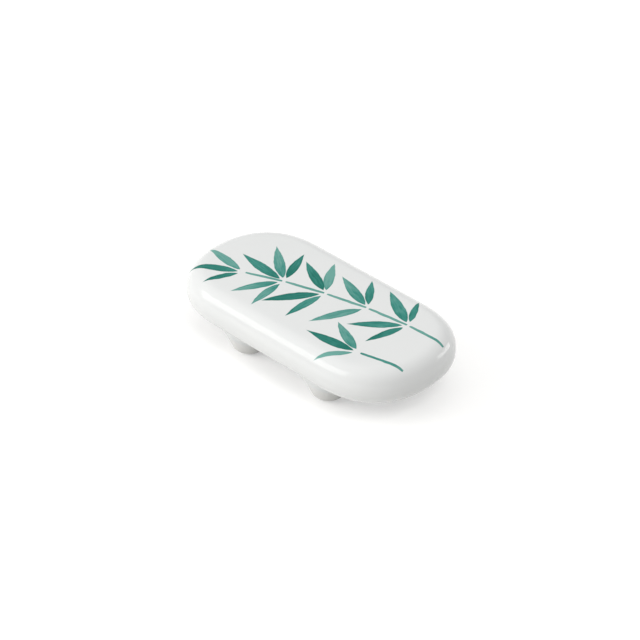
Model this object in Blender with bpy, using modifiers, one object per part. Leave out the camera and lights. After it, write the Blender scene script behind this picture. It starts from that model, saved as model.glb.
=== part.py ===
"""Porcelain chopstick rest: an oblong tablet with full round edges on four tapered feet.

The tablet is solid. Each foot is stuck to the underside by a thin bed of slip, which follows
the underside where it starts to roll up to the side. Metres, +Z up. The origin is on the
table under the tablet's centre, +X runs along the tablet and -Y is its front.
"""

import bmesh
import bpy
from mathutils import Matrix

# Tablet
LENGTH = 0.0650           # tip to tip
WIDTH = 0.0328            # across the straight sides
THICKNESS = 0.0084        # underside to top
TOP_ROLL = 0.0043         # radius from the top over to the side
SIDE_BAND = 0.0005        # upright strip between the upper roll and the lower one
BOTTOM_ROLL = THICKNESS - SIDE_BAND - TOP_ROLL
END_LENGTH = 0.0164       # from where a straight side starts to turn, to the tip
END_FULLNESS = 0.625      # reach of the curve's handles: 0.552 is a round end, more is squarer

# Feet
STANDING_HEIGHT = 0.0060  # table to underside
FOOT_FROM_TIP = 0.0206    # along the tablet, from its tip to a foot's centre
FOOT_FROM_SIDE = 0.0074   # across the tablet, from its side to a foot's centre
FOOT_TIP_RADIUS = 0.0031  # of the taper at the table, before its edge is rounded
FOOT_TOP_RADIUS = 0.0057  # of the taper at the underside's level
FOOT_TIP_ROUND = 0.0009   # round on the tip's edge

# Joint of foot and tablet
SLIP_THICKNESS = 0.0005   # bed of slip
SEAT_GAP = 0.0003         # clearance on each side of the bed

# Fineness of the facets
OUTLINE_STEPS = 14        # on each quarter of the outline's round ends
ROLL_STEPS = 8
FOOT_SIDES = 48
TIP_STEPS = 4
SMOOTH_ANGLE = 0.6        # radians; edges that turn more than this stay crisp
FLAT_ANGLE = 0.001        # radians; faces that turn less than this make one flat face
MERGE_DISTANCE = 1e-6

# Colour and roughness
GLAZE = (0.80, 0.81, 0.80, 1.0), 0.10
FOOT_PORCELAIN = (0.76, 0.76, 0.74, 1.0), 0.25
FIRED_SLIP = (0.72, 0.72, 0.70, 1.0), 0.35


def clear_scene():
    for old in list(bpy.data.objects):
        bpy.data.objects.remove(old, do_unlink=True)


def add_collection(name):
    collection = bpy.data.collections.new(name)
    bpy.context.scene.collection.children.link(collection)
    return collection


def add_object(name, mesh, collection, material=None):
    piece = bpy.data.objects.new(name, mesh)
    collection.objects.link(piece)
    if material:
        mesh.materials.append(material)
    return piece


def fired_clay(name, colour, roughness):
    material = bpy.data.materials.new(name)
    material.use_nodes = True
    shader = material.node_tree.nodes["Principled BSDF"]
    shader.inputs["Base Color"].default_value = colour
    shader.inputs["Roughness"].default_value = roughness
    shader.inputs["Metallic"].default_value = 0.0
    material.diffuse_color = colour
    return material


def shade(mesh):
    mesh.shade_smooth()
    mesh.set_sharp_from_angle(angle=SMOOTH_ANGLE)


def outline_curve(name, grow):
    """The tablet's flat outline, pushed out by grow, as a closed Bezier curve."""
    tip_x = LENGTH / 2 + grow
    side_y = WIDTH / 2 + grow
    turn_x = LENGTH / 2 - END_LENGTH
    reach_x = END_FULLNESS * (tip_x - turn_x)
    reach_y = END_FULLNESS * side_y

    curve = bpy.data.curves.new(name, "CURVE")
    curve.dimensions = "2D"
    curve.fill_mode = "BOTH"
    spline = curve.splines.new("BEZIER")
    spline.bezier_points.add(5)
    spline.use_cyclic_u = True
    spline.resolution_u = OUTLINE_STEPS
    points = iter(spline.bezier_points)
    for end in (1, -1):
        start, tip, stop = next(points), next(points), next(points)
        start.co = (end * turn_x, -end * side_y, 0)
        start.handle_left_type = "VECTOR"
        start.handle_right = (end * (turn_x + reach_x), -end * side_y, 0)
        tip.co = (end * tip_x, 0, 0)
        tip.handle_left = (end * tip_x, -end * reach_y, 0)
        tip.handle_right = (end * tip_x, end * reach_y, 0)
        stop.co = (end * turn_x, end * side_y, 0)
        stop.handle_left = (end * (turn_x + reach_x), end * side_y, 0)
        stop.handle_right_type = "VECTOR"
    return curve


def tablet_mesh(name, grow):
    """The tablet's slab as a mesh, pushed out by grow, with its two rims marked for rolling."""
    curve = outline_curve(name, grow)
    curve.extrude = THICKNESS / 2 + grow
    slab = bpy.data.objects.new(name, curve)
    bpy.context.scene.collection.objects.link(slab)
    slab.location.z = STANDING_HEIGHT + THICKNESS / 2
    depsgraph = bpy.context.evaluated_depsgraph_get()
    mesh = bpy.data.meshes.new_from_object(slab.evaluated_get(depsgraph))
    mesh.transform(slab.matrix_world)
    bpy.data.objects.remove(slab, do_unlink=True)
    bpy.data.curves.remove(curve)

    low_share = (BOTTOM_ROLL + grow) / (TOP_ROLL + grow)
    middle = STANDING_HEIGHT + THICKNESS / 2
    slab_mesh = bmesh.new()
    slab_mesh.from_mesh(mesh)
    bmesh.ops.remove_doubles(slab_mesh, verts=slab_mesh.verts, dist=MERGE_DISTANCE)
    bmesh.ops.dissolve_limit(slab_mesh, angle_limit=FLAT_ANGLE, verts=slab_mesh.verts,
                             edges=slab_mesh.edges)
    weight = slab_mesh.edges.layers.float.new("bevel_weight_edge")
    for edge in slab_mesh.edges:
        low, high = sorted(corner.co.z for corner in edge.verts)
        if low > middle:
            edge[weight] = 1.0
        elif high < middle:
            edge[weight] = low_share
    slab_mesh.to_mesh(mesh)
    slab_mesh.free()
    shade(mesh)
    return mesh


def add_tablet(name, collection, material=None, grow=0.0):
    """The tablet, or a larger copy of it that trims what sits against its underside."""
    tablet = add_object(name, tablet_mesh(name, grow), collection, material)
    roll = tablet.modifiers.new("rolled_edges", "BEVEL")
    roll.limit_method = "WEIGHT"
    roll.width = TOP_ROLL + grow
    roll.segments = ROLL_STEPS
    return tablet


def add_cutter(name, collection, grow):
    cutter = add_tablet(name, collection, grow=grow)
    cutter.hide_render = True
    cutter.display_type = "WIRE"
    return cutter


def trim(piece, cutter, operation):
    cut = piece.modifiers.new(cutter.name, "BOOLEAN")
    cut.operation = operation
    cut.object = cutter
    cut.solver = "EXACT"


def add_foot_blank(name, place, collection, material):
    """A tapered foot with a round-edged tip, still running on halfway up the lower roll."""
    height = STANDING_HEIGHT + BOTTOM_ROLL / 2
    taper = (FOOT_TOP_RADIUS - FOOT_TIP_RADIUS) / STANDING_HEIGHT
    mesh = bpy.data.meshes.new(name)
    blank = bmesh.new()
    bmesh.ops.create_cone(
        blank, cap_ends=True, segments=FOOT_SIDES,
        radius1=FOOT_TIP_RADIUS, radius2=FOOT_TIP_RADIUS + taper * height,
        depth=height, matrix=Matrix.Translation((0, 0, height / 2)),
    )
    blank.to_mesh(mesh)
    blank.free()
    shade(mesh)
    foot = add_object(name, mesh, collection, material)
    foot.location = (*place, 0)
    tip = foot.modifiers.new("round_tip", "BEVEL")
    tip.limit_method = "ANGLE"
    tip.angle_limit = SMOOTH_ANGLE
    tip.width = FOOT_TIP_ROUND
    tip.segments = TIP_STEPS
    return foot


def main():
    clear_scene()
    parts = add_collection("chopstick_rest")
    cutters = add_collection("cutters")
    glaze = fired_clay("white_glaze", *GLAZE)
    foot_clay = fired_clay("foot_porcelain", *FOOT_PORCELAIN)
    slip_clay = fired_clay("fired_slip", *FIRED_SLIP)

    add_tablet("tablet_body", parts, glaze)
    slip_top = add_cutter("slip_top_trim", cutters, SEAT_GAP)
    slip_underside = add_cutter("slip_underside_trim", cutters, SEAT_GAP + SLIP_THICKNESS)
    foot_top = add_cutter("foot_top_trim", cutters, 2 * SEAT_GAP + SLIP_THICKNESS)

    foot_x = LENGTH / 2 - FOOT_FROM_TIP
    foot_y = WIDTH / 2 - FOOT_FROM_SIDE
    for row, y_side in (("front", -1), ("back", 1)):
        for hand, x_side in (("left", -1), ("right", 1)):
            place = (x_side * foot_x, y_side * foot_y)
            foot = add_foot_blank(f"foot_{row}_{hand}", place, parts, foot_clay)
            trim(foot, foot_top, "DIFFERENCE")
            bed = add_foot_blank(f"slip_bed_{row}_{hand}", place, parts, slip_clay)
            trim(bed, slip_underside, "INTERSECT")
            trim(bed, slip_top, "DIFFERENCE")


main()
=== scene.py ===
"""Looks of a porcelain chopstick rest: a glazed tablet with painted bamboo leaves, on four feet.

Metres, +Z up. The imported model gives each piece's place and the tablet's overall size. The glaze
is smooth and white, the leaves are brushed under it in teal, and the tips of the feet are bare.
"""

import math
import random
from functools import reduce

import bmesh
import bpy
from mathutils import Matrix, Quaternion, Vector, noise
from mathutils.geometry import interpolate_bezier


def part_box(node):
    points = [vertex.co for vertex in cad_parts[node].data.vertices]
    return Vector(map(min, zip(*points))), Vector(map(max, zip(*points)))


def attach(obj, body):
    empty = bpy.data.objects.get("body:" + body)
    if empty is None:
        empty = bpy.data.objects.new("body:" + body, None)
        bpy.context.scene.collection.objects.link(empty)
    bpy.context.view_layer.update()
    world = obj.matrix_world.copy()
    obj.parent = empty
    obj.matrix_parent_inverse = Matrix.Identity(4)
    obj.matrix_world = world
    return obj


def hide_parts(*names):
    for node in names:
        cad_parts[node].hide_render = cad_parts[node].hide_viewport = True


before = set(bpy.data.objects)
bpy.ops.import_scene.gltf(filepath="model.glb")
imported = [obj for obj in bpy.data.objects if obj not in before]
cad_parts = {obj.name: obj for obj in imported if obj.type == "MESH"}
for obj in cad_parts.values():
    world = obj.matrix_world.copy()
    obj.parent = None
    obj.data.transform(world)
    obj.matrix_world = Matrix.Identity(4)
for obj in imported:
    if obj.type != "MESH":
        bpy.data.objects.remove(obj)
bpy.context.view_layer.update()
tablet_low, tablet_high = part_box("tablet_body")

MM = 0.001
WHITE = (1, 1, 1, 1)
REST = "chopstick_rest"        # collection of the rest's pieces
STUDIO = "studio"              # collection of the floor

# Tablet
TOP_ROLL = 4.3 * MM            # radius from the top over to the side
BOTTOM_ROLL = 3.6 * MM         # radius from the side under to the underside
END_LENGTH = 16.4 * MM         # from where a straight side starts to turn, to the tip
END_FULLNESS = 0.625           # reach of the outline's curve at its ends: more is squarer
RIM_SLOPE = math.radians(3)    # slope of the top where the roll takes over
RIM_EASE = 1.2 * MM            # the top eases from that slope to level over this
FLAT_INSET = 9.5 * MM          # last ring that follows the outline
CORNER_STEPS = 44
SIDE_STEPS = 36
ROLL_STEPS = 22
EASE_STEPS = 6
SPINE_STEPS = 5                # from the last ring in to the middle line
HAND_WAVE = 0.05 * MM          # unevenness of the pressed clay
HAND_WAVE_LENGTH = 17 * MM
SHARP_ANGLE = math.radians(50)  # edges that turn more than this stay crisp

# Feet
FOOT_TIP_RADIUS = 3.1 * MM     # of the taper at the table, before its edge is rounded
FOOT_TOP_RADIUS = 5.7 * MM     # of the taper at the underside's level
FOOT_TIP_ROUND = 1.4 * MM
FOOT_TIP_REACH = 1 / 2         # the larger, the fuller the tip's edge
FOOT_SIDES = 96
FOOT_STEPS = 16
TIP_STEPS = 8
FOOT_WAVE = 0.06 * MM          # unevenness of the foot's flank
FOOT_WAVE_LENGTH = 5 * MM
FOOT_WAVE_END = 1 / 4          # the wave dies out over this share of the flank, at its top

# Slip at the joint of foot and tablet, smoothed to a hollow fillet
SLIP_ON_FOOT = 2.1 * MM        # reach down the foot
SLIP_ON_BODY = 2.5 * MM        # reach along the underside
SLIP_HOLLOW = 2 / 3            # the larger, the deeper the hollow
SLIP_PROUD = 0.015 * MM        # step at the fillet's two rims
SLIP_SUNK = 0.3 * MM           # how far the joined faces sink into their neighbours
SLIP_STEPS = 14
CONTACT_TRIES = 30
WALK_STEPS = 24

# Painted bamboo, in millimetres and degrees: the joints along each cane, then by a joint's number the
# leaves that spring from it, each with its turn from the cane's own heading and its length
BAMBOO = (
    (((30.4, 6.4), (20.5, 6.0), (10.0, 4.6), (0.0, 2.2), (-9.5, -0.8), (-18.0, -4.4)), {
        1: ((-58, 8.5), (-28, 12.0), (40, 11.8), (74, 9.5)),
        2: ((-56, 9.0), (-27, 12.0), (58, 12.0)),
        3: ((-66, 10.5), (-36, 11.5), (38, 12.5), (72, 11.0)),
        4: ((-84, 10.0), (-52, 12.5), (-20, 13.0), (42, 11.0), (74, 10.0)),
        5: ((-30, 11.5), (4, 11.5), (38, 8.0)),
    }),
    (((30.4, -5.6), (20.0, -8.2)), {
        1: ((-36, 10.5), (-3, 12.5), (34, 8.5)),
    }),
)
PAINT_SEED = 7

# Leaves and canes. A wash is how strong the colour is where a stroke starts, and a fade is how much
# it gains towards the stroke's end
LEAF_GAP = 1.3 * MM            # bare clay between a joint's middle and its leaves
LEAF_SLIMNESS = 0.215          # width over length
LEAF_SWELL = 0.78              # below 1 the leaf is widest nearer its stalk
LEAF_POINT = 1.1               # above 1 both ends are drawn out
LEAF_TURN_SPREAD = (-2, 2)     # degrees
LEAF_LENGTH_SPREAD = (0.97, 1.03)
LEAF_WIDTH_SPREAD = (0.93, 1.07)
LEAF_BENDS = (0.02, 0.09)      # sideways bend over length, from least to most
LEAF_WASHES = (0.15, 1.10)     # from weakest to strongest
LEAF_FADES = (-0.6, -0.4, 0.3)
CANE_WIDTH = 0.88 * MM
CANE_GAP = 0.35 * MM           # bare clay on each side of a joint's middle
CANE_POINT = 0.12              # near 0 both ends are blunt
CANE_WASHES = (0.15, 0.30)
CANE_FADES = (-0.15, 0.25)

# Brush work
BRUSH_EDGE = 0.11 * MM         # softness of a stroke's edge
BRUSH_SHAKE = 0.28 * MM        # how far a stroke's edge wanders
BRUSH_SHAKE_LENGTH = 1.6 * MM
PAINT_END = 0.5 * MM           # the paint stops over this height, at the foot of the upper roll
STREAK_WIDTH = 0.35 * MM       # streaks that the brush's hairs leave along a stroke
STREAK_STRETCH = 9             # their length over their width
STREAK_CHANGE = 30             # the larger, the more alike the streaks of neighbouring strokes
STREAK_DEPTH = 0.85
BLOT_SIZE = 3.2 * MM           # patches where the wash dried darker or paler
BLOT_DEPTH = 0.55
POOL_WIDTH = 0.40 * MM         # colour that gathered along a stroke's edge
POOL_DEPTH = 0.22

# Glaze
GLAZE_IOR = 1.5
GLAZE_ROUGHNESS = 0.085        # where it is glossiest
GLAZE_ROUGHNESS_CHANGE = 0.05
GLAZE_ROUGHNESS_SIZE = 4 * MM
GLAZE_RELIEF = 0.02 * MM       # height of the wave in its face
GLAZE_WAVE_SIZE = 7 * MM
GLAZE_PEEL = 0.06              # share of a finer unevenness on the wave
GLAZE_PEEL_SIZE = 1.3 * MM
THICK_SIZE = 11 * MM           # patches where the glaze lies thick
THICK_FROM = 0.42              # the lower, the wider they are
THICK_EDGE = 1.6               # the larger, the sharper their edges
THICK_TINT = 0.35              # how far they take on the pooled glaze's colour
SPECK_SPACING = 2.4 * MM       # specks of clay, whose sizes are shares of their spacing
SPECK_RADIUS = 0.02
SPECK_EDGE = 0.03
SPECK_TINT = 0.12
POOL_AND_SHADE_LEAST = 0.35          # how far the fillets take on the pooled glaze's darker colour: part pooled glaze, part painted shade
POOL_AND_SHADE_CHANGE = 0.4
POOL_AND_SHADE_SIZE = 3 * MM

# Bare tips of the feet
GLAZE_LINE = 0.45 * MM         # height at which the glaze starts
GLAZE_LINE_EDGE = 0.12 * MM
GLAZE_LINE_WANDER = 0.5 * MM
GLAZE_LINE_SIZE = 2.2 * MM     # length of its wander
THINNING_AND_PAINTED_SHADE = 0.5           # share of biscuit colour in the glaze at the table, and none at the top: thinning glaze and painted shade
FOOT_ROUGHNESS = 0.10
BISCUIT_ROUGHNESS = 0.62
BISCUIT_GRAIN = 0.35 * MM

# Colours
GLAZE_WHITE = (0.795, 0.805, 0.800, 1)
# a cooler, darker white: thick glaze in patches, and painted shade in the fillets between foot and
# tablet
GLAZE_POOLED_AND_SHADED = (0.735, 0.765, 0.765, 1)
BISCUIT = (0.66, 0.63, 0.58, 1)
TEAL_PALE = (0.150, 0.385, 0.335, 1)
TEAL_MIDDLE = (0.040, 0.262, 0.217, 1)
TEAL_DARK = (0.003, 0.165, 0.125, 1)
TEAL_STOPS = ((0.10, TEAL_PALE), (0.55, TEAL_MIDDLE), (1.0, TEAL_DARK))
FLOOR_PALE = (0.56, 0.557, 0.55, 1)
LAMP_COLOUR = (1.0, 0.995, 0.98)

# Camera, fitted to the outline in the photograph
CAMERA_AZIMUTH = math.radians(45.1)
CAMERA_HEIGHT_ANGLE = math.radians(34.6)
CAMERA_DISTANCE = 632.3 * MM
CAMERA_LENS = 168.75
CAMERA_SENSOR = 36.0
CAMERA_NEAREST = 10 * MM
LOOK_AT_HEIGHT = 10.2 * MM
LOOK_AT_RIGHT = 0.15 * MM      # the photograph's middle lies this far right of the tablet's
LOOK_AT_DOWN = 1.23 * MM       # and this far below it

# Studio
AIR_AT_HORIZON = 0.13          # light that comes from all round
AIR_OVERHEAD = 1.41
BACKDROP_OVERHEAD = 0.30       # what shows all round is white at the horizon, and this overhead
BACKDROP_FALL = 4              # the larger, the nearer the horizon it dims
FLOOR_LIFT = 0.425             # brings the open floor up to white where it shows
FLOOR_SIZE = 4.0
FLOOR_CELLS = 4


class Wire:
    """An output of a node. Sums on wires add Math nodes."""

    def __init__(self, recipe, socket):
        self.recipe = recipe
        self.socket = socket

    def beside(self, output):
        """Another output of the same node."""
        return Wire(self.recipe, self.recipe.find(self.socket.node.outputs, output))

    def math(self, operation, *values, clip=False):
        sockets = dict(enumerate(values))
        return self.recipe.add("ShaderNodeMath", {"operation": operation, "use_clamp": clip}, sockets)

    def __add__(self, other):
        return self.math("ADD", self, other)

    __radd__ = __add__

    def __sub__(self, other):
        return self.math("SUBTRACT", self, other)

    def __rsub__(self, other):
        return self.math("SUBTRACT", other, self)

    def __mul__(self, other):
        return self.math("MULTIPLY", self, other)

    __rmul__ = __mul__

    def __truediv__(self, other):
        return self.math("DIVIDE", self, other)

    def __rtruediv__(self, other):
        return self.math("DIVIDE", other, self)

    def __pow__(self, other):
        return self.math("POWER", self, other)

    def __rpow__(self, other):
        return self.math("POWER", other, self)

    def __abs__(self):
        return self.math("ABSOLUTE", self)

    def larger(self, other):
        return self.math("MAXIMUM", self, other)

    def clipped(self):
        """Held between 0 and 1."""
        return self.math("ADD", self, 0, clip=True)


class Recipe:
    """The nodes of one finish."""

    def __init__(self, tree):
        self.tree = tree
        tree.nodes.clear()

    @staticmethod
    def find(sockets, key):
        if isinstance(key, int):
            return sockets[key]
        return next(socket for socket in sockets if socket.enabled and socket.name == key)

    def add(self, kind, settings=None, sockets=None, output=0):
        """A new node. The settings come first, then values or wires for its sockets."""
        node = self.tree.nodes.new(kind)
        for name, value in (settings or {}).items():
            if name == "stops":
                self.set_stops(node.color_ramp, value)
            else:
                setattr(node, name, value)
        for key, value in (sockets or {}).items():
            socket = self.find(node.inputs, key)
            if isinstance(value, Wire):
                self.tree.links.new(value.socket, socket)
            else:
                socket.default_value = value
        if node.outputs:
            return Wire(self, self.find(node.outputs, output))

    @staticmethod
    def set_stops(ramp, stops):
        while len(ramp.elements) < len(stops):
            ramp.elements.new(1.0)
        for element, (position, colour) in zip(ramp.elements, stops):
            element.position = position
            element.color = colour

    def place(self):
        """The point being shaded, in metres from the rest's own origin."""
        return self.add("ShaderNodeTexCoord", output="Object")

    def part(self, vector, axis):
        """One of a vector's three numbers. The others are beside it."""
        return self.add("ShaderNodeSeparateXYZ", None, {"Vector": vector}, axis)

    def cloud(self, place, size, detail=2.0, output="Fac"):
        """Soft noise between 0 and 1 with features of that size."""
        sockets = {"Vector": place, "Scale": 1 / size, "Detail": detail}
        return self.add("ShaderNodeTexNoise", None, sockets, output)

    def sway(self, place, size):
        """Soft noise to both sides of 0."""
        return self.cloud(place, size) - 0.5

    def mix(self, share, first, second):
        """A colour between two others."""
        sockets = {"Factor": share, "A": first, "B": second}
        return self.add("ShaderNodeMix", {"data_type": "RGBA"}, sockets, "Result")

    def blend(self, share, first, second):
        """A shader between two others."""
        return self.add("ShaderNodeMixShader", None, {0: share, 1: first, 2: second})

    def finish(self, shader):
        self.add("ShaderNodeOutputMaterial", None, {"Surface": shader})


def new_finish(name):
    material = bpy.data.materials.new(name)
    material.use_nodes = True
    return material, Recipe(material.node_tree)


# Painted bamboo

def leaf_stroke(dice, joint, angle, bend, length):
    towards = Vector((math.cos(angle), math.sin(angle)))
    return {
        "base": joint + towards * LEAF_GAP,
        "angle": angle,
        "length": length,
        "half_width": length * LEAF_SLIMNESS * dice.uniform(*LEAF_WIDTH_SPREAD) / 2,
        "bend": bend * length,
        "swell": LEAF_SWELL,
        "point": LEAF_POINT,
        "wash": dice.uniform(*LEAF_WASHES),
        "fade": dice.choice(LEAF_FADES),
    }


def cane_stroke(dice, joint, next_joint):
    run = next_joint - joint
    return {
        "base": joint + run.normalized() * CANE_GAP,
        "angle": math.atan2(run.y, run.x),
        "length": run.length - 2 * CANE_GAP,
        "half_width": CANE_WIDTH / 2,
        "bend": 0.0,
        "swell": 1.0,
        "point": CANE_POINT,
        "wash": dice.uniform(*CANE_WASHES),
        "fade": dice.choice(CANE_FADES),
    }


def bamboo_strokes():
    """Every brush stroke of the painted bamboo, each branch with its canes first."""
    dice = random.Random(PAINT_SEED)
    strokes = []
    for places, sprays in BAMBOO:
        joints = [Vector(place) * MM for place in places]
        canes = [cane_stroke(dice, *pair) for pair in zip(joints, joints[1:])]
        strokes += canes
        for number, leaves in sprays.items():
            heading = canes[number - 1]["angle"]
            for turn, length in leaves:
                angle = heading + math.radians(turn + dice.uniform(*LEAF_TURN_SPREAD))
                bend = math.copysign(dice.uniform(*LEAF_BENDS), turn)
                length *= MM * dice.uniform(*LEAF_LENGTH_SPREAD)
                strokes.append(leaf_stroke(dice, joints[number], angle, bend, length))
    return strokes


def brushed_bamboo(recipe, place):
    """How far a point lies inside the strokes, how strong the wash is there, and the point's way
    along and across its own stroke. Lengths are in metres."""
    depths, washes, ways_along, ways_across = [], [], [], []
    for stroke in bamboo_strokes():
        on_stroke = recipe.add("ShaderNodeMapping", {"vector_type": "TEXTURE"}, {
            "Vector": place,
            "Location": (*stroke["base"], 0),
            "Rotation": (0, 0, stroke["angle"]),
            "Scale": (stroke["length"], stroke["half_width"], 1),
        })
        along = recipe.part(on_stroke, "X")
        across = along.beside("Y") - along * along * (stroke["bend"] / stroke["half_width"])
        swell = along.clipped() ** stroke["swell"]
        half = (4 * swell * (1 - swell)) ** stroke["point"]
        depth = (half - abs(across)) * stroke["half_width"]
        cover = (depth / BRUSH_EDGE).clipped()
        depths.append(depth)
        washes.append(cover * (stroke["wash"] + along * stroke["fade"]))
        ways_along.append(cover * along * stroke["length"])
        ways_across.append(cover * across * stroke["half_width"])
    return reduce(Wire.larger, depths), sum(washes), sum(ways_along), sum(ways_across)


def painted_colour(recipe, place, bare):
    """The bare glaze's colour with the bamboo brushed under it."""
    shaken = recipe.add("ShaderNodeVectorMath", {"operation": "MULTIPLY_ADD"}, {
        0: recipe.cloud(place, BRUSH_SHAKE_LENGTH, detail=1.0, output="Color"),
        1: (BRUSH_SHAKE, BRUSH_SHAKE, 0),
        2: place,
    })
    inside, wash, way_along, way_across = brushed_bamboo(recipe, shaken)
    height = recipe.part(place, "Z")
    on_top = ((height - (tablet_high.z - TOP_ROLL)) / PAINT_END).clipped()
    cover = (inside / BRUSH_EDGE).clipped() * on_top

    hairs = recipe.add("ShaderNodeCombineXYZ", None, {
        "X": way_along / STREAK_STRETCH,
        "Y": way_across,
        "Z": height.beside("X") / STREAK_CHANGE,
    })
    streaks = recipe.sway(hairs, STREAK_WIDTH)
    blots = recipe.sway(place, BLOT_SIZE)
    pooled = 1 - (inside / POOL_WIDTH).clipped()
    strength = wash + BLOT_DEPTH * blots + STREAK_DEPTH * streaks + POOL_DEPTH * pooled
    teal = recipe.add("ShaderNodeValToRGB", {"stops": TEAL_STOPS}, {"Fac": strength}, "Color")
    return recipe.mix(cover, bare, teal)


# Finishes

def glaze_surface(recipe, place, colour, roughness):
    """A glossy glaze, with a soft wave and a finer unevenness in its face."""
    wave = recipe.cloud(place, GLAZE_WAVE_SIZE)
    peel = recipe.cloud(place, GLAZE_PEEL_SIZE, detail=1.0)
    bump = recipe.add("ShaderNodeBump", None, {
        "Strength": 1.0,
        "Distance": GLAZE_RELIEF,
        "Height": wave + GLAZE_PEEL * peel,
    }, "Normal")
    return recipe.add("ShaderNodeBsdfPrincipled", None, {
        "Base Color": colour,
        "Roughness": roughness,
        "IOR": GLAZE_IOR,
        "Normal": bump,
    })


def glaze_colour(recipe, place):
    """White glaze, a little cooler where it lies thick, with faint specks of the clay in it."""
    thick = (THICK_EDGE * (recipe.cloud(place, THICK_SIZE) - THICK_FROM)).clipped()
    tinted = recipe.mix(thick * THICK_TINT, GLAZE_WHITE, GLAZE_POOLED_AND_SHADED)
    sockets = {"Vector": place, "Scale": 1 / SPECK_SPACING}
    from_speck = recipe.add("ShaderNodeTexVoronoi", None, sockets, "Distance")
    speck = 1 - ((from_speck - SPECK_RADIUS) / SPECK_EDGE).clipped()
    return recipe.mix(speck * SPECK_TINT, tinted, BISCUIT)


def glaze_roughness(recipe, place):
    change = recipe.cloud(place, GLAZE_ROUGHNESS_SIZE, detail=3.0)
    return GLAZE_ROUGHNESS + GLAZE_ROUGHNESS_CHANGE * change


def tablet_finish():
    material, recipe = new_finish("painted_white_glaze")
    place = recipe.place()
    colour = painted_colour(recipe, place, glaze_colour(recipe, place))
    recipe.finish(glaze_surface(recipe, place, colour, glaze_roughness(recipe, place)))
    return material


def foot_finish():
    """White glaze that thins down the foot and takes painted shade towards the table, and stops short
    of the tip, where the biscuit is bare.
    """
    material, recipe = new_finish("white_glaze_with_bare_tips")
    place = recipe.place()
    height = recipe.part(place, "Z")
    wander = GLAZE_LINE_WANDER * recipe.sway(place, GLAZE_LINE_SIZE)
    glazed = ((height + wander - GLAZE_LINE) / GLAZE_LINE_EDGE).clipped()
    grain = recipe.cloud(place, BISCUIT_GRAIN, detail=3.0)
    biscuit = recipe.mix(grain, BISCUIT, GLAZE_POOLED_AND_SHADED)
    # painted shade: the glaze darkens towards the biscuit's colour nearer the table, part thinning
    # glaze, part shade under the tablet
    thinning_and_shade = (THINNING_AND_PAINTED_SHADE * (1 - height / tablet_low.z)).clipped()
    glaze = recipe.mix(thinning_and_shade, glaze_colour(recipe, place), BISCUIT)
    colour = recipe.mix(glazed, biscuit, glaze)
    roughness = BISCUIT_ROUGHNESS + glazed * (FOOT_ROUGHNESS - BISCUIT_ROUGHNESS)
    recipe.finish(glaze_surface(recipe, place, colour, roughness))
    return material


def slip_finish():
    """Glaze pooled in the hollow between foot and tablet, with painted shade there too, so a shade
    deeper.
    """
    material, recipe = new_finish("pooled_glaze_with_painted_shade")
    place = recipe.place()
    # painted shade: the fillets between foot and tablet are darkened, part pooled glaze, part shade
    pooled_and_shaded = POOL_AND_SHADE_LEAST + POOL_AND_SHADE_CHANGE * recipe.cloud(place, POOL_AND_SHADE_SIZE)
    colour = recipe.mix(pooled_and_shaded, glaze_colour(recipe, place), GLAZE_POOLED_AND_SHADED)
    recipe.finish(glaze_surface(recipe, place, colour, glaze_roughness(recipe, place)))
    return material


# Shapes

def collection(name):
    if name not in bpy.data.collections:
        bpy.context.scene.collection.children.link(bpy.data.collections.new(name))
    return bpy.data.collections[name]


def skin(name, rings, material, around=False):
    """A closed skin over rings of as many points each. Where the rings don't go on around to the
    first one, the first and last of them are closed by a face."""
    mesh = bpy.data.meshes.new(name)
    body = bmesh.new()
    rows = [[body.verts.new(point) for point in ring] for ring in rings]
    pairs = list(zip(rows, rows[1:]))
    if around:
        pairs.append((rows[-1], rows[0]))
    else:
        body.faces.new(reversed(rows[0]))
        body.faces.new(rows[-1])
    for lower, upper in pairs:
        count = len(lower)
        for here in range(count):
            after = (here + 1) % count
            body.faces.new((lower[here], lower[after], upper[after], upper[here]))
    bmesh.ops.recalc_face_normals(body, faces=body.faces)
    body.to_mesh(mesh)
    body.free()
    mesh.shade_smooth()
    mesh.set_sharp_from_angle(angle=SHARP_ANGLE)
    mesh.materials.append(material)
    piece = bpy.data.objects.new(name, mesh)
    collection(REST).objects.link(piece)
    return piece


def dress(piece, node):
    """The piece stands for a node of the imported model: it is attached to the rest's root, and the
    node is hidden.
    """
    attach(piece, "root")
    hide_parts(node)


def rounded_corner(start, corner, stop, reach, steps):
    """Points of a curve from start to stop, which comes nearer the corner the larger the reach."""
    curve = interpolate_bezier(start, start.lerp(corner, reach), stop.lerp(corner, reach), stop, steps)
    return [point.xy for point in curve]


def tablet_outline():
    """Points round the tablet as seen from above, each with the direction that points out there."""
    turn_x = tablet_high.x - END_LENGTH
    tip = Vector((tablet_high.x, 0))
    turn = Vector((turn_x, tablet_high.y))
    quarter = rounded_corner(tip, tablet_high.xy, turn, END_FULLNESS, CORNER_STEPS)
    side = []
    for step in range(1, SIDE_STEPS):
        side.append(Vector((turn_x * (1 - 2 * step / SIDE_STEPS), tablet_high.y)))
    half = quarter + side + [Vector((-point.x, point.y)) for point in reversed(quarter)]
    loop = half[:-1] + [-point for point in half[:-1]]
    outline = []
    for index, point in enumerate(loop):
        forward = loop[(index + 1) % len(loop)] - loop[index - 1]
        outline.append((point, Vector((forward.y, -forward.x)).normalized()))
    return outline


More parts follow.
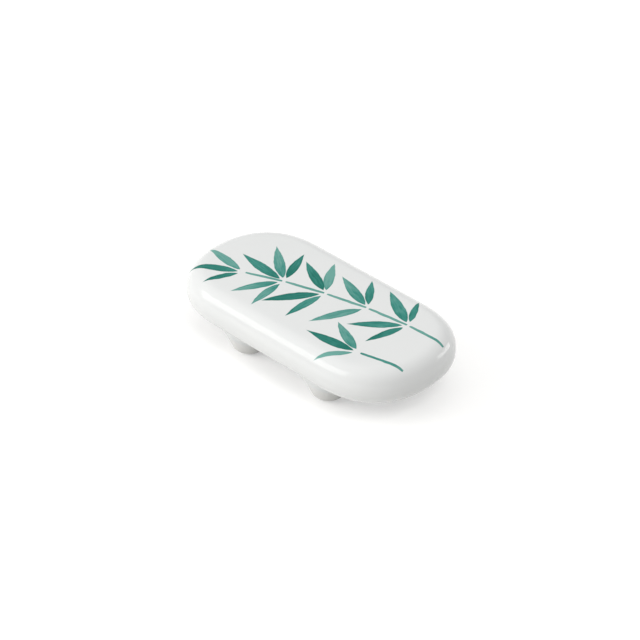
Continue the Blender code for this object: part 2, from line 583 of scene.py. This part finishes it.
def edge_profile():
    """Inset and height from the underside, round the edge, to the level middle of the top."""
    profile = [(FLAT_INSET, tablet_low.z)]
    for step in range(ROLL_STEPS + 1):
        turn = step / ROLL_STEPS * math.pi / 2
        inset = BOTTOM_ROLL * (1 - math.sin(turn))
        profile.append((inset, tablet_low.z + BOTTOM_ROLL * (1 - math.cos(turn))))
    last_turn = math.pi / 2 - RIM_SLOPE
    rise = math.tan(RIM_SLOPE) * RIM_EASE / 2
    middle = tablet_high.z - rise - TOP_ROLL * math.sin(last_turn)
    for step in range(ROLL_STEPS + 1):
        turn = step / ROLL_STEPS * last_turn
        profile.append((TOP_ROLL * (1 - math.cos(turn)), middle + TOP_ROLL * math.sin(turn)))
    rim_inset, rim_height = profile[-1]
    for step in range(1, EASE_STEPS + 1):
        way = step / EASE_STEPS
        profile.append((rim_inset + way * RIM_EASE, rim_height + rise * way * (2 - way)))
    profile.append((FLAT_INSET, tablet_high.z))
    return profile


def towards_spine(ring, way):
    """The ring drawn in towards the tablet's middle line, which it reaches at a way of 1."""
    spine_x = tablet_high.x - END_LENGTH
    drawn = []
    for point in ring:
        on_spine = Vector((max(-spine_x, min(spine_x, point.x)), 0, point.z))
        drawn.append(point.lerp(on_spine, way))
    return drawn


def add_tablet(material):
    outline = tablet_outline()
    rings = []
    for inset, height in edge_profile():
        rings.append([Vector((*(point - out * inset), height)) for point, out in outline])
    ways = [step / SPINE_STEPS for step in range(1, SPINE_STEPS)]
    rings = [towards_spine(rings[0], way) for way in reversed(ways)] + rings
    rings += [towards_spine(rings[-1], way) for way in ways]
    for ring in rings:
        for point in ring:
            share = (point.z - tablet_low.z) / (tablet_high.z - tablet_low.z)
            point.z += HAND_WAVE * share * share * noise.noise(point / HAND_WAVE_LENGTH)
    dress(skin("tablet", rings, material), "tablet_body")


def underside_height(y):
    """Height of the tablet's underside, which rolls up towards the sides."""
    onto_roll = max(0.0, abs(y) - (tablet_high.y - BOTTOM_ROLL))
    return tablet_low.z + BOTTOM_ROLL - math.sqrt(max(0.0, BOTTOM_ROLL ** 2 - onto_roll ** 2))


def foot_radius(height):
    return FOOT_TIP_RADIUS + (FOOT_TOP_RADIUS - FOOT_TIP_RADIUS) * height / tablet_low.z


def foot_spokes():
    """Directions round a foot, as seen from above."""
    for side in range(FOOT_SIDES):
        angle = 2 * math.pi * side / FOOT_SIDES
        yield Vector((math.cos(angle), math.sin(angle)))


def contact_height(centre, spoke):
    """Where the foot's flank meets the underside, on one spoke."""
    height = underside_height(centre.y)
    for _ in range(CONTACT_TRIES):
        height = underside_height(centre.y + spoke.y * foot_radius(height))
    return height


def foot_centre(node):
    low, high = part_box(node)
    return ((low + high) / 2).xy


def on_foot(centre, spoke, radius, height):
    return Vector((*(centre + spoke * radius), height))


def foot_tip():
    """Radius and height round the edge of a foot's tip, from its flat face to its flank."""
    flat = Vector((FOOT_TIP_RADIUS - FOOT_TIP_ROUND, 0))
    edge = Vector((FOOT_TIP_RADIUS, 0))
    flank = Vector((foot_radius(FOOT_TIP_ROUND), FOOT_TIP_ROUND))
    return rounded_corner(flat, edge, flank, FOOT_TIP_REACH, TIP_STEPS)


def add_foot(node, material):
    centre = foot_centre(node)
    spokes = list(foot_spokes())
    rings = []
    for radius, height in foot_tip():
        rings.append([on_foot(centre, spoke, radius, height) for spoke in spokes])
    tops = [contact_height(centre, spoke) + SLIP_SUNK for spoke in spokes]
    for step in range(1, FOOT_STEPS + 1):
        way = step / FOOT_STEPS
        waviness = FOOT_WAVE * min(1.0, (1 - way) / FOOT_WAVE_END)
        ring = []
        for spoke, top in zip(spokes, tops):
            height = FOOT_TIP_ROUND + (top - FOOT_TIP_ROUND) * way
            radius = foot_radius(height)
            wave = noise.noise(on_foot(centre, spoke, radius, height) / FOOT_WAVE_LENGTH)
            ring.append(on_foot(centre, spoke, radius + waviness * wave, height))
        rings.append(ring)
    dress(skin(node.replace("foot", "glazed_foot"), rings, material), node)


def walk_underside(centre, spoke, radius, length):
    """Radius at the end of a walk of that length along the underside, out from the foot."""
    step = length / WALK_STEPS
    for _ in range(WALK_STEPS):
        here = centre.y + spoke.y * radius
        ahead = underside_height(here + spoke.y * step) - underside_height(here)
        radius += step * step / math.hypot(step, ahead)
    return radius


def slip_section(centre, spoke):
    """Radius and height round the slip's section on one spoke, with its hollow face first."""
    meet_height = contact_height(centre, spoke)
    meet = Vector((foot_radius(meet_height), meet_height))
    low_height = meet_height - SLIP_ON_FOOT
    start = Vector((foot_radius(low_height) + SLIP_PROUD, low_height))
    far_radius = walk_underside(centre, spoke, meet.x, SLIP_ON_BODY)
    stop = Vector((far_radius, underside_height(centre.y + spoke.y * far_radius) - SLIP_PROUD))
    face = rounded_corner(start, meet, stop, SLIP_HOLLOW, SLIP_STEPS)
    in_tablet = stop + Vector((0, SLIP_SUNK))
    in_both = meet + Vector((-SLIP_SUNK, SLIP_SUNK))
    in_foot = start - Vector((SLIP_SUNK, 0))
    return face + [in_tablet, in_both, in_foot]


def add_slip(node, foot, material):
    """A ring of slip with a hollow face, sunk a little into the foot and the tablet."""
    centre = foot_centre(foot)
    sections = []
    for spoke in foot_spokes():
        section = slip_section(centre, spoke)
        sections.append([on_foot(centre, spoke, radius, height) for radius, height in section])
    rings = [list(ring) for ring in zip(*sections)]
    ring_of_slip = skin(node.replace("slip_bed", "slip_fillet"), rings, material, around=True)
    dress(ring_of_slip, node)


# Studio

def direction(azimuth, height_angle):
    """Unit vector from the rest towards a point of the studio. Azimuth 0 is in front."""
    level = math.cos(height_angle)
    return Vector((math.sin(azimuth) * level, -math.cos(azimuth) * level, math.sin(height_angle)))


def add_camera():
    data = bpy.data.cameras.new("camera")
    data.lens = CAMERA_LENS
    data.sensor_width = CAMERA_SENSOR
    data.clip_start = CAMERA_NEAREST
    camera = bpy.data.objects.new("camera", data)
    bpy.context.scene.collection.objects.link(camera)
    back = direction(CAMERA_AZIMUTH, CAMERA_HEIGHT_ANGLE)
    turn = (-back).to_track_quat("-Z", "Y")
    right = turn @ Vector((1, 0, 0))
    up = turn @ Vector((0, 1, 0))
    look_at = Vector((0, 0, LOOK_AT_HEIGHT)) + right * LOOK_AT_RIGHT - up * LOOK_AT_DOWN
    camera.location = look_at + back * CAMERA_DISTANCE
    camera.rotation_euler = turn.to_euler()
    bpy.context.scene.camera = camera


def add_soft_box(name, azimuth, height_angle, size, distance, brightness,
                 lean=0, lit=REST, mirrored=True):
    """A rectangular lamp that faces the rest, turned by lean on its own axis. Angles are in degrees,
    and brightness is what a mirror would show of it. It lights one collection alone. Where it isn't
    mirrored, it lights the glaze and leaves no bright patch on it."""
    data = bpy.data.lights.new(name, "AREA")
    data.shape = "RECTANGLE"
    data.size, data.size_y = size
    data.energy = brightness * math.pi * data.size * data.size_y
    data.color = LAMP_COLOUR
    lamp = bpy.data.objects.new(name, data)
    bpy.context.scene.collection.objects.link(lamp)
    towards = direction(math.radians(azimuth), math.radians(height_angle))
    lamp.location = towards * distance
    turn = Quaternion((0, 0, 1), math.radians(lean))
    lamp.rotation_euler = (towards.to_track_quat("Z", "Y") @ turn).to_euler()
    lamp.visible_camera = False
    lamp.visible_glossy = mirrored
    lamp.light_linking.receiver_collection = collection(lit)


def add_lamps():
    """The key's core makes the bright strip along the front rim, and the back strip the short one on
    the right end. Two lamps light the floor alone and give it the rest's shadow."""
    add_soft_box("key_core", azimuth=-39, height_angle=36.5, size=(0.54, 0.27), distance=0.60,
                 brightness=2.25, lean=31)
    add_soft_box("key_halo", azimuth=-45, height_angle=55, size=(0.90, 0.70), distance=0.70,
                 brightness=0.12, lean=20)
    add_soft_box("front_fill", azimuth=-10, height_angle=17, size=(0.46, 0.50), distance=0.70,
                 brightness=1.85, mirrored=False)
    add_soft_box("back_strip", azimuth=157, height_angle=15.5, size=(0.33, 0.13), distance=0.60,
                 brightness=2.7, lean=-28)
    add_soft_box("floor_front_light", azimuth=-42, height_angle=20, size=(0.50, 0.50), distance=0.70,
                 brightness=7.4, lit=STUDIO)
    add_soft_box("floor_end_light", azimuth=74, height_angle=51, size=(0.26, 0.26), distance=0.70,
                 brightness=8.0, lit=STUDIO)


def background_rays(recipe):
    """1 for rays that show the studio itself: to the camera, or by a reflection or through glass."""
    camera = recipe.add("ShaderNodeLightPath", output="Is Camera Ray")
    return (camera + camera.beside("Is Glossy Ray") + camera.beside("Is Transmission Ray")).clipped()


def add_studio_air():
    """Light from all round, strongest overhead. Where the studio itself shows, there is a white
    backdrop that dims towards overhead."""
    world = bpy.data.worlds.new("studio_air")
    bpy.context.scene.world = world
    world.use_nodes = True
    recipe = Recipe(world.node_tree)
    rise = recipe.part(recipe.add("ShaderNodeTexCoord", output="Generated"), "Z").larger(0)

    def glow(strength):
        return recipe.add("ShaderNodeBackground", None, {"Color": WHITE, "Strength": strength})

    air = recipe.blend(rise * rise, glow(AIR_AT_HORIZON), glow(AIR_OVERHEAD))
    backdrop = recipe.blend((1 - rise) ** BACKDROP_FALL, glow(BACKDROP_OVERHEAD), glow(1))
    recipe.add("ShaderNodeOutputWorld", None, {
        "Surface": recipe.blend(background_rays(recipe), air, backdrop),
    })


def floor_finish():
    """Pale paper, clear from below. Where the studio itself shows, it is lifted to white but keeps
    its shadow."""
    material, recipe = new_finish("pale_floor")
    paper = recipe.add("ShaderNodeBsdfDiffuse", None, {"Color": FLOOR_PALE})
    lift = recipe.add("ShaderNodeEmission", None, {"Color": WHITE, "Strength": FLOOR_LIFT})
    lifted = recipe.add("ShaderNodeAddShader", None, {0: paper, 1: lift})
    face = recipe.blend(background_rays(recipe), paper, lifted)
    from_below = recipe.add("ShaderNodeNewGeometry", output="Backfacing")
    recipe.finish(recipe.blend(from_below, face, recipe.add("ShaderNodeBsdfTransparent")))
    return material


def add_floor():
    mesh = bpy.data.meshes.new("floor")
    sheet = bmesh.new()
    bmesh.ops.create_grid(sheet, x_segments=FLOOR_CELLS, y_segments=FLOOR_CELLS, size=FLOOR_SIZE / 2)
    sheet.to_mesh(mesh)
    sheet.free()
    mesh.materials.append(floor_finish())
    floor = bpy.data.objects.new("floor", mesh)
    collection(STUDIO).objects.link(floor)


def main():
    bpy.context.scene.view_settings.view_transform = "Standard"
    add_camera()
    add_lamps()
    add_studio_air()
    add_floor()

    add_tablet(tablet_finish())
    foot_glaze = foot_finish()
    slip_glaze = slip_finish()
    for corner in ("front_left", "front_right", "back_left", "back_right"):
        add_foot(f"foot_{corner}", foot_glaze)
        add_slip(f"slip_bed_{corner}", f"foot_{corner}", slip_glaze)


main()
